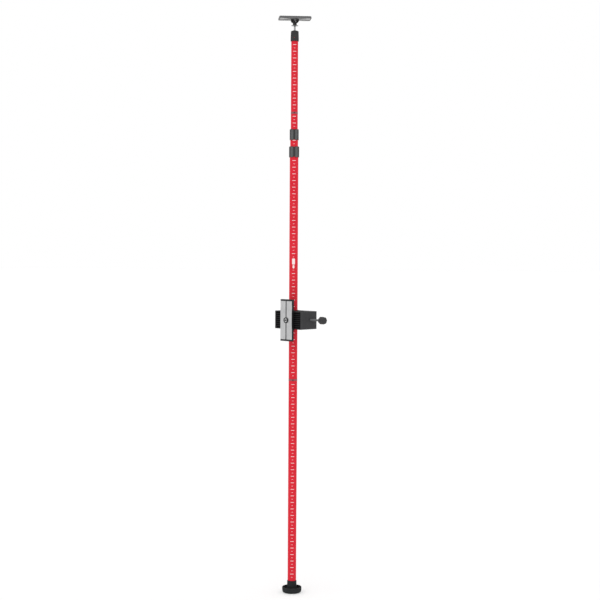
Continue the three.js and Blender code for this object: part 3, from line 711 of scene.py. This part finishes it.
def twist_collar(side, outside, inside):
    """A lobed nut with valleys that run out in notches at both ends."""
    node = f"{side}_twist_grip"
    low, high = span(node)
    ridge = high.x
    slide = span(inside)[1].x + RUNNING_FIT
    sleeve = span(outside)[1].x + GRIP_WALL
    lip = high.z - GRIP_LIP
    valley = sleeve + 0.5
    straight = high.z - low.z - ROUND_BELOW - ROUND_ABOVE
    profile = quarter((sleeve + 0.3, low.z), (ridge, low.z + ROUND_BELOW), True)
    profile += [(ridge, low.z + ROUND_BELOW + straight * i / SIDE_STEPS) for i in range(1, SIDE_STEPS)]
    profile += quarter((ridge, high.z - ROUND_ABOVE), (ridge - 2, high.z), False)
    profile += [(slide + 0.5, high.z), (slide, high.z - 0.4), (slide, lip)]
    profile += [(sleeve - 1.4, lip), (sleeve, high.z - 8.9), (sleeve, low.z)]

    def shape(radius, z, angle):
        dip = math.cos(GRIP_LOBES * angle / 2) ** 2
        outer = max(0, (radius - sleeve) / (ridge - sleeve))
        near_top = max(0, 1 - (high.z - z) / RUN_OUT_ABOVE) ** 1.5
        near_bottom = max(0, 1 - (z - low.z) / RUN_OUT_BELOW) ** 1.5
        rib = RIB_DEPTH * (0.5 + 0.5 * math.cos(GRIP_RIBS * angle)) * (1 - dip)
        if z > lip + 0.1 or radius > sleeve - 0.1:
            across = (radius - slide) / (ridge - slide)
            z -= near_top * NOTCH_TOP * dip ** 3 * (INNER_NOTCH + (1 - INNER_NOTCH) * across)
            z += near_bottom * NOTCH_BOTTOM * dip ** 3
        return radius - outer * ((ridge - valley) * dip ** 1.5 + rib), z

    piece(side + "_collar_grip", lathe(profile, 360, shape), side + "_grip", node, sharp=50)


# ---------- sprung head ----------

HEAD_RIBS = 40
HEAD_RIB_DEPTH = 0.28
HEAD_SWELL = 0.3
HEAD_TAPER = 1
HEAD_SHOULDER = 3.5
HEAD_WAIST = 14
LOCK_MARK_RADIUS = 0.95
LOCK_MARK_HEIGHT = 12.6
ROD_RADIUS = 3.6


def head_grip():
    """The ribbed lock over the head, narrower above its waist, with a red dot on its front."""
    low, high = span("head_grip")
    wide = high.x + HEAD_SWELL
    tube = span("top_tube")[1].x + RUNNING_FIT
    guide = ROD_RADIUS + 0.4
    shoulder = high.z - HEAD_SHOULDER
    narrow = wide - HEAD_TAPER
    waist = low.z + HEAD_WAIST
    rows = [(wide, low.z + 3 + (waist - low.z - 3) * i / 3) for i in range(4)]
    rows += [(wide - HEAD_TAPER * i / 6, waist + (shoulder - 3 - waist) * i / 6) for i in range(1, 6)]
    profile = [
        (tube, low.z),
        *fillet([(tube, low.z), (wide, low.z, 0.9), (wide, low.z + 3)])[1:-1],
        *rows,
        (narrow, shoulder - 3),
        *fillet([(narrow, shoulder - 3), (narrow, shoulder, 1.2), (guide + 1.4, high.z)])[1:-1],
        *fillet([(narrow, shoulder), (guide + 1.4, high.z, 0.8), (guide, high.z)])[1:-1],
        (guide, high.z),
        (guide, shoulder - 4.5),
        (tube, shoulder - 4.5),
    ]

    def shape(radius, z, angle):
        if radius > narrow - 0.2 and low.z + 2 < z < shoulder - 2.5:
            radius -= HEAD_RIB_DEPTH * (0.5 + 0.5 * math.cos(HEAD_RIBS * angle)) ** 2
        return radius, z

    def paint(face):
        centre = face.calc_center_median()
        return int(centre.z > shoulder and Vector(centre[:2]).length < narrow)

    solid = lathe(profile, HEAD_RIBS * 8, shape)
    piece("head_twist_grip", solid, ["head_grip", "black_plastic"], "head_grip", paint=paint)
    outline = [(0, 0), (LOCK_MARK_RADIUS, 0, 0.2), (LOCK_MARK_RADIUS, 0.7, 0.3), (0, 0.7)]
    dot = moved(lathe(fillet(outline), 32), FROM_Y, (-1.8, 0.4 - wide, low.z + LOCK_MARK_HEIGHT))
    piece("lock_mark", dot, "tube_paint", "head_grip", stands_for=False)


SPRING_CAP = 3.6
PLUNGER_COIL_RADIUS = 8
PLUNGER_COIL_WIRE = 0.75
PLUNGER_COIL_TURNS = 11


def plunger():
    """The sprung rod with its cap, its stop disc and its spring."""
    low, high = span("plunger_rod")
    cap = high.x
    cap_low = span("plunger_spring")[1].z + 0.2
    cap_high = cap_low + SPRING_CAP
    radius = ROD_RADIUS
    profile = fillet([
        (0, low.z),
        (radius, low.z, 1),
        (radius, cap_low),
        (cap, cap_low, 0.4),
        (cap, cap_high, 0.4),
        (radius, cap_high),
        (radius, high.z, 0.5),
        (0, high.z),
    ], 3)
    piece("plunger_shaft", lathe(profile, 64), "chrome", "plunger_rod")

    low, high = span("rod_disc")
    bore = radius + 0.1
    rim = fillet([(bore, low.z), (high.x, low.z + 0.2, 0.4), (high.x, high.z, 0.4), (bore, high.z)])
    piece("stop_disc", lathe(rim, 96), "disc_steel", "rod_disc")

    low, high = span("plunger_spring")
    coil = helix_spring(PLUNGER_COIL_RADIUS, PLUNGER_COIL_WIRE, low.z, high.z, PLUNGER_COIL_TURNS)
    spring = piece("plunger_coil", coil, "steel", "plunger_spring")
    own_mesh(spring)


HUB_RADIUS = 18
CAD_SKIN = 2
SKIN = 4.2
LEVEL = 0.3  # how near a height has to be to count as the same


def swivel():
    """The yoke, the cross and the ceiling plate, in the frame turned with the plate."""
    piece("swivel_yoke", from_cad("yoke", HEAD), "black_plastic", "yoke", HEAD, edge=0.7)
    piece("swivel_cross", from_cad("gimbal_cross", HEAD), "housing_plastic", "gimbal_cross", HEAD, edge=0.5)
    low, high = span("plate_pin", HEAD)
    pin = rod(high.x, low.y, high.y, 32, 0.3)
    piece("swivel_pin", moved(pin, TO_Y, (0, 0, middle("plate_pin").z)), "steel", "plate_pin", HEAD)

    top = span("ceiling_plate")[1].z
    tray = from_cad("ceiling_plate", HEAD)
    for vertex in tray.verts:
        under_skin = abs(vertex.co.z - top + CAD_SKIN) < LEVEL
        if under_skin and Vector(vertex.co[:2]).length > HUB_RADIUS - 0.5:
            vertex.co.z = top - SKIN

    # painted light: the pocket floors and inner walls outside the hub take the pale look, standing in for light
    # reflected in the pockets
    def painted_light_face(face):
        centre = face.calc_center_median()
        away = Vector(centre[:2])
        panel = face.normal.z < -0.9 and abs(centre.z - top + SKIN) < LEVEL
        inner_wall = Vector(face.normal[:2]).dot(away.normalized()) < -0.3
        return int(away.length > HUB_RADIUS and (panel or inner_wall))

    looks = ["tray_plastic", "tray_painted_light"]
    piece("ceiling_tray", tray, looks, "ceiling_plate", HEAD, edge=0.4, paint=painted_light_face)
    ceiling_pad()


PAD_RIBS = 16
PAD_CORNER = 7
PAD_RIB_HEIGHT = 0.7
PAD_RIB_HALF_WIDTH = 1.6
PAD_MARGIN = 3


def ceiling_pad():
    """A rubber sheet with low ribs across it."""
    low, high = span("ceiling_pad", HEAD)
    outline = fillet([
        (low.x, low.y, PAD_CORNER),
        (high.x, low.y, PAD_CORNER),
        (high.x, high.y, PAD_CORNER),
        (low.x, high.y, PAD_CORNER),
    ], 8)
    sheet = prism(outline, low.z, high.z - PAD_RIB_HEIGHT)
    pitch = (high.x - low.x - 2 * PAD_CORNER) / (PAD_RIBS - 1)
    ribs = []
    for i in range(PAD_RIBS):
        x = low.x + PAD_CORNER + i * pitch
        ribs.append(block(
            (x - PAD_RIB_HALF_WIDTH, low.y + PAD_MARGIN, high.z - 1),
            (x + PAD_RIB_HALF_WIDTH, high.y - PAD_MARGIN, high.z),
        ))
    piece("ceiling_rubber", merged(sheet, *ribs), "pad_rubber", "ceiling_pad", HEAD, edge=0.3)


# ---------- laser mount, in the frame turned with its rail ----------

LINER_FLANGE = 2.2
LINER_DEPTH = 3.75
LINER_LIP = 1.6
LINER_SLIT = 2.4


def clamp_body():
    """The housing, its jaw and the split liner round the pole."""
    low, high = span("clamp_liner", MOUNT)
    flange = high.x
    inner = flange - LINER_DEPTH
    sleeve = flange - LINER_FLANGE
    profile = fillet([
        (inner, low.z, 0.4),
        (flange, low.z, 0.4),
        (flange, low.z + LINER_LIP),
        (sleeve, low.z + LINER_LIP),
        (sleeve, high.z - LINER_LIP),
        (flange, high.z - LINER_LIP),
        (flange, high.z, 0.4),
        (inner, high.z, 0.4),
    ], 3)
    half_slit = math.asin(LINER_SLIT / 2 / sleeve)
    liner = lathe(profile, 96, start=math.pi / 2 + half_slit, sweep=TURN - 2 * half_slit)
    piece("split_liner", liner, "black_plastic", "clamp_liner", MOUNT)
    piece("clamp_body", from_cad("clamp_housing", MOUNT), "housing_plastic", "clamp_housing", MOUNT, edge=0.7)
    piece("clamp_block", from_cad("clamp_jaw", MOUNT), "black_plastic", "clamp_jaw", MOUNT, edge=0.6)


SCREW_PITCH = 1.5
SCREW_THREAD = 0.45
KNOB_LOBES = 7
KNOB_VALLEY = 2.1
KNOB_CORE = 7.6
KNOB_NECK = (6.5, 4)


def clamp_screw():
    """The long clamping screw and its lobed knob."""
    low, high = span("clamp_screw", MOUNT)
    axis = middle("clamp_screw", MOUNT)
    solid = thread((high.z - low.z) / 2, SCREW_THREAD, SCREW_PITCH, low.x, high.x)
    piece("threaded_rod", moved(solid, TO_X, (0, axis.y, axis.z)), "thread_steel", "clamp_screw", MOUNT)

    low, high = span("clamp_knob", MOUNT)
    ridge = max(high.y, high.z - axis.z)
    neck, neck_length = KNOB_NECK
    neck_end = low.x + neck_length
    outer = fillet([
        (0, low.x),
        (neck, low.x, 0.6),
        (neck, neck_end, 0.8),
        (ridge - 1.2, neck_end, 1.5),
        (ridge, neck_end + 3, 2.5),
        (ridge, high.x - 4, 3),
        (ridge - 3.2, high.x, 2.2),
        (7.4, high.x, 0.3),
        (7.0, high.x - 0.8, 0.3),
        (0, high.x - 0.8),
    ], 5)

    def shape(radius, z, angle):
        weight = max(0, (radius - KNOB_CORE) / (ridge - KNOB_CORE))
        dip = math.cos(KNOB_LOBES * angle / 2) ** 4
        return radius - KNOB_VALLEY * dip * weight, z

    solid = moved(lathe(outer, KNOB_LOBES * 24, shape), TO_X, (0, axis.y, axis.z))
    piece("clamp_hand_knob", solid, "knob_plastic", "clamp_knob", MOUNT, sharp=45)


GROOVE_DEPTHS = (0.5, 3.5)
BOLT_SHANK = 2
BOLT_HEAD = 3.8
BOLT_SOCKET = 2.2
SOCKET_RADIUS = 2


def rail_bolt(node):
    """A round-headed screw with a hexagon socket, its head to the back."""
    low, high = span(node, MOUNT)
    centre = middle(node, MOUNT)
    radius = (high.x - low.x) / 2
    under = high.y - BOLT_HEAD
    tip = BOLT_SHANK - 0.3
    shank = lathe([(0, low.y), (tip, low.y), (BOLT_SHANK, low.y + 0.6), (BOLT_SHANK, under), (0, under)], 32)
    cap = lathe(fillet([(0, under), (radius, under), (radius, high.y, 0.8), (0, high.y)]), 48)
    angles = [TURN * k / 6 for k in range(6)]
    hexagon = [(SOCKET_RADIUS * math.cos(angle), SOCKET_RADIUS * math.sin(angle)) for angle in angles]
    solid = combined("UNION", shank, cap)
    solid = combined("DIFFERENCE", solid, prism(hexagon, high.y - BOLT_SOCKET, high.y + 1))
    piece(node + "_bolt", moved(solid, TO_Y, (centre.x, 0, centre.z)), "steel", node, MOUNT)


def rail():
    """The ribbed rail, its end caps and the four screws that hold it from behind."""
    front = span("ribbed_rail", MOUNT)[0].y
    shallow, deep = GROOVE_DEPTHS

    # painted shade: faces down in the grooves between the ribs take the near-black look
    def groove(face):
        return int(front + shallow < face.calc_center_median().y < front + deep)

    solid = from_cad("ribbed_rail", MOUNT)
    looks = ["anodised", "groove_painted_shade"]
    piece("ribbed_bar", solid, looks, "ribbed_rail", MOUNT, edge=0.3, paint=groove)
    for side in ("left", "right"):
        node = f"rail_cap_{side}"
        low, high = span(node, MOUNT)
        outline = fillet([(low.x, low.y, 1.2), (high.x, low.y, 1.2), (high.x, high.y), (low.x, high.y)])
        piece(node + "_moulding", prism(outline, low.z, high.z), "housing_plastic", node, MOUNT, edge=0.5)
    for number in range(1, 5):
        rail_bolt(f"rail_screw_{number}")


RIVET_ROWS = (-1.5, -0.5, 0.5, 1.5)
RIVET_PITCH = 39.5
RIVET_RADIUS = 2.3
CAP_EDGE = 0.9
HOOK_EDGE = 0.4


def laser_plate():
    """The steel-faced plate that a laser level holds on to."""
    piece("plate_channel", from_cad("plate_frame", MOUNT), "anodised", "plate_frame", MOUNT, edge=0.3)
    for side in ("left", "right"):
        node = f"steel_strip_{side}"
        low, high = span(node, MOUNT)
        centre = (low + high) / 2
        piece(node + "_face", block(low, high), "steel", node, MOUNT, edge=0.35)
        rivets = []
        for row in RIVET_ROWS:
            head = lathe(fillet([(0, 0), (RIVET_RADIUS, 0), (RIVET_RADIUS, 0.8, 0.5), (0, 1.0)]), 32)
            spot = (centre.x, low.y + 0.75, centre.z + row * RIVET_PITCH)
            rivets.append(moved(head, FROM_Y, spot))
        piece(f"rivets_{side}", merged(*rivets), "steel", node, MOUNT, stands_for=False)
    for kind, edge in (("plate_cap", CAP_EDGE), ("carriage_hook", HOOK_EDGE)):
        for end in ("top", "bottom"):
            node = f"{kind}_{end}"
            piece(node + "_moulding", from_cad(node, MOUNT), "black_plastic", node, MOUNT, edge=edge)


STUD_RADIUS = 3.1
STUD_PITCH = 1.27
STUD_THREAD = 0.4
STUD_NECK = (2, 3)
STUD_HEAD = 4
STUD_HEAD_HALF = 4.8
KNURLS = 48
KNURL_DEPTH = 0.35
WHEEL_INSIDE = 7.4


def laser_stud():
    """The camera-thread stud in the plate's slot, and its thumb wheel."""
    low, high = span("laser_stud", MOUNT)
    centre = middle("laser_stud", MOUNT)
    wheel_low, wheel_high = span("stud_wheel", MOUNT)
    screw = thread(STUD_RADIUS, STUD_THREAD, STUD_PITCH, low.y, wheel_high.y + 0.2)
    half_width, half_height = STUD_NECK
    neck = block((-half_width, wheel_high.y, -half_height), (half_width, high.y - 2, half_height))
    head_low = (low.x - centre.x, high.y - STUD_HEAD, -STUD_HEAD_HALF)
    head_high = (high.x - centre.x, high.y, STUD_HEAD_HALF)
    head = block(head_low, head_high)
    spot = (centre.x, 0, centre.z)
    solid = merged(moved(screw, TO_Y), neck, head)
    piece("quarter_inch_stud", moved(solid, to=spot), "thread_steel", "laser_stud", MOUNT)

    radius = (wheel_high.x - wheel_low.x) / 2
    profile = fillet([
        (WHEEL_INSIDE, wheel_low.y + 0.2, 0.3),
        (radius, wheel_low.y, 0.6),
        (radius, wheel_high.y, 0.6),
        (WHEEL_INSIDE, wheel_high.y - 0.2, 0.3),
    ])

    def knurl(r, z, angle):
        if r > radius - 0.3:
            r -= KNURL_DEPTH * (0.5 + 0.5 * math.cos(KNURLS * angle))
        return r, z

    rim = moved(lathe(profile, KNURLS * 6, knurl), TO_Y, spot)
    piece("wheel_rim", rim, "black_plastic", "stud_wheel", MOUNT)
    bore, rim_overlap = STUD_RADIUS + RUNNING_FIT, WHEEL_INSIDE + 0.1
    web = lathe(ring_profile(bore, rim_overlap, wheel_low.y + 0.9, wheel_high.y - 0.5), 64)
    piece("wheel_web", moved(web, TO_Y, spot), "steel", "stud_wheel", MOUNT, stands_for=False)


# ---------- everything that keeps its CAD shape ----------


def carried_over():
    """CAD nodes that stay inside the pole or the clamp keep their shape and take their slot's look."""
    for name, node in frame["nodes"].items():
        if not node.hide_render:
            node.data.materials.clear()
            node.data.materials.append(LOOKS[SLOT[name]].material)


# ---------- floor, light and camera ----------

FLOOR_HALF = 60
FLOOR_GLOW = 0.33
FLOOR_ROUGHNESS = 0.9
FLOOR_TONES = ((0.6, 0.6, 0.6, 1), (0.62, 0.62, 0.62, 1))
FLOOR_CLOUDS = 3
WHITE = (1, 1, 1, 1)
SUN_ENERGY = 0.5
SUN_SIZE = 60
SUN_HEADING = (40, 0, -25)
CAMERA_DISTANCE = 5.2
CAMERA_HEIGHT = 1.356
CAMERA_PITCH = 2.426
CAMERA_YAW = 0.283
CAMERA_ROLL = 0.32
FOCAL_PIXELS = 1352
FRAME_PIXELS = 600
SENSOR = 36


def studio():
    scene = bpy.context.scene
    scene.view_settings.view_transform = "Standard"
    world = bpy.data.worlds.new("studio")
    scene.world = world
    world.use_nodes = True
    background = world.node_tree.nodes["Background"]
    background.inputs["Color"].default_value = WHITE
    background.inputs["Strength"].default_value = 1.0

    mesh = bpy.data.meshes.new("floor")
    corners = [(-FLOOR_HALF, -FLOOR_HALF, 0), (FLOOR_HALF, -FLOOR_HALF, 0)]
    corners += [(FLOOR_HALF, FLOOR_HALF, 0), (-FLOOR_HALF, FLOOR_HALF, 0)]
    mesh.from_pydata(corners, [], [(0, 1, 2, 3)])
    floor = bpy.data.objects.new("floor", mesh)
    scene.collection.objects.link(floor)
    paper = Look("floor_paper", metallic=0, specular=0.1)
    paper.colour(paper.mixed(paper.noise(FLOOR_CLOUDS), *FLOOR_TONES))
    paper.shader.inputs["Roughness"].default_value = FLOOR_ROUGHNESS
    paper.shader.inputs["Emission Color"].default_value = WHITE
    paper.shader.inputs["Emission Strength"].default_value = FLOOR_GLOW
    mesh.materials.append(paper.material)

    sun = bpy.data.lights.new("soft_sun", "SUN")
    sun.energy = SUN_ENERGY
    sun.angle = math.radians(SUN_SIZE)
    lamp = bpy.data.objects.new("soft_sun", sun)
    lamp.rotation_euler = [math.radians(angle) for angle in SUN_HEADING]
    scene.collection.objects.link(lamp)


def camera():
    data = bpy.data.cameras.new("camera")
    data.sensor_width = SENSOR
    data.lens = FOCAL_PIXELS / FRAME_PIXELS * SENSOR
    result = bpy.data.objects.new("camera", data)
    yaw = Matrix.Rotation(math.radians(-CAMERA_YAW), 4, "Z")
    pitch = Matrix.Rotation(math.radians(90 - CAMERA_PITCH), 4, "X")
    roll = Matrix.Rotation(math.radians(CAMERA_ROLL), 4, "Z")
    result.matrix_world = Matrix.Translation((0, -CAMERA_DISTANCE, CAMERA_HEIGHT)) @ yaw @ pitch @ roll
    bpy.context.scene.collection.objects.link(result)
    bpy.context.scene.camera = result


# ---------- assembly ----------

foot()
tubes()
marks()
section_joint("lower", "lower_tube", lip_below=1, lip_above=1)
section_joint("upper", "third_tube", lip_below=3.2, lip_above=0.6)
twist_collar("lower", outside="middle_tube", inside="second_tube")
twist_collar("upper", outside="second_tube", inside="third_tube")
head_grip()
plunger()
swivel()
clamp_body()
clamp_screw()
rail()
laser_plate()
laser_stud()
carried_over()
studio()
camera()
